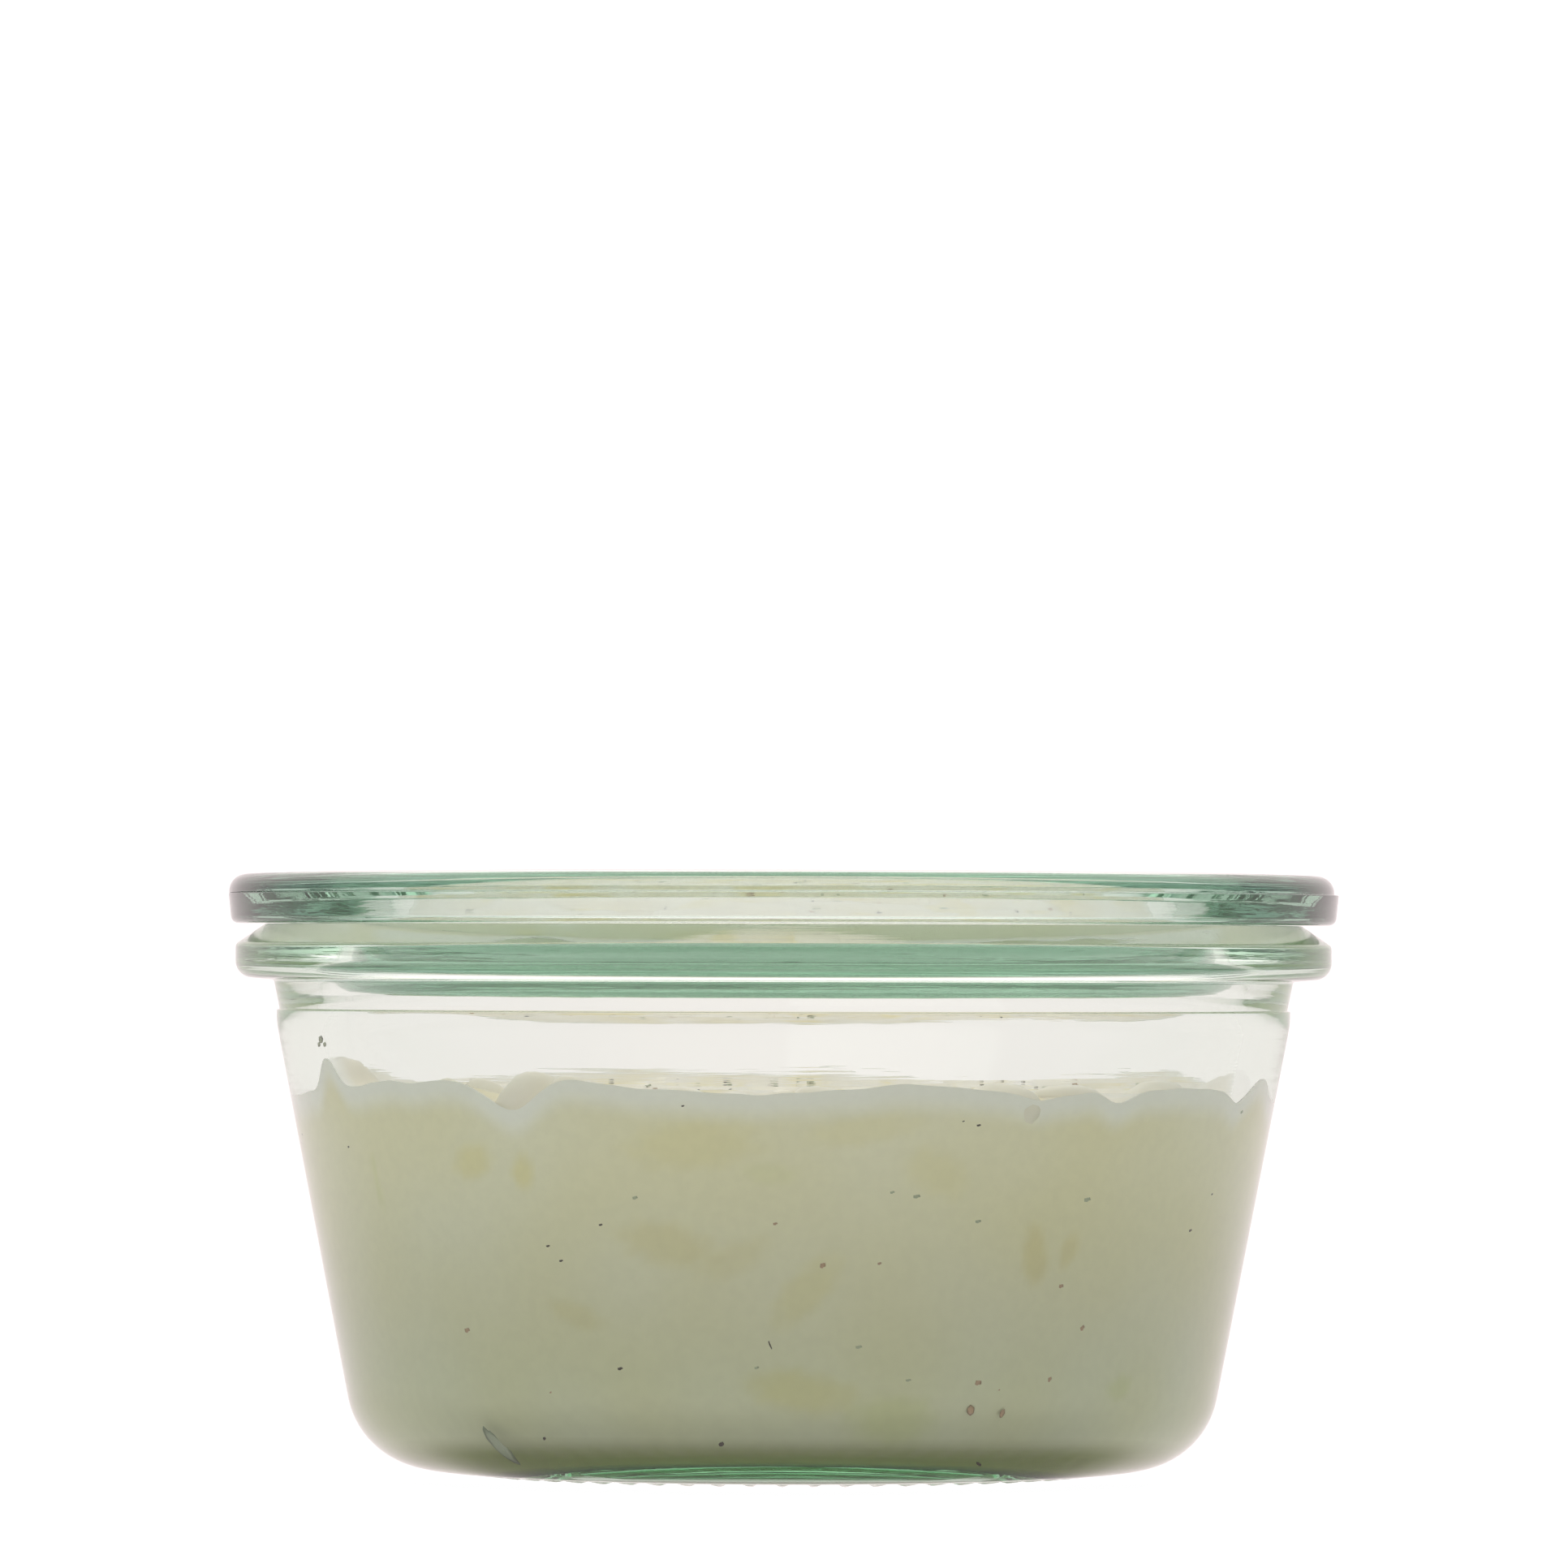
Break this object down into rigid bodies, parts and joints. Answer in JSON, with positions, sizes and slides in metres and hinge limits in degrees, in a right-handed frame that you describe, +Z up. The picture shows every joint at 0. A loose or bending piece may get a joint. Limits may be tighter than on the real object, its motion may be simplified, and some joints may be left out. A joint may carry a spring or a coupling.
{
  "type": "preserving jar",
  "caption": "Low tapered preserving jar of pale green glass with a loose plugged glass lid, holding a chunky cream salad dip.",
  "frame": {"origin": "centre of the ring of foot ribs, in the plane that the jar stands on", "axes": "+Z up along the jar's axis, -Y towards the front"},
  "size_m": [0.1102, 0.1102, 0.0594],
  "materials": {
    "jar_glass": "clear pressed glass with a pale green tint",
    "lid_glass": "clear pressed glass with a pale green tint",
    "cream_filling": "moist cream with soft pieces, herbs and pepper"
  },
  "bodies": {
    "root": {"glass_jar": "jar_glass", "glass_lid": "lid_glass", "cream_filling": "cream_filling"}
  },
  "joints": []
}
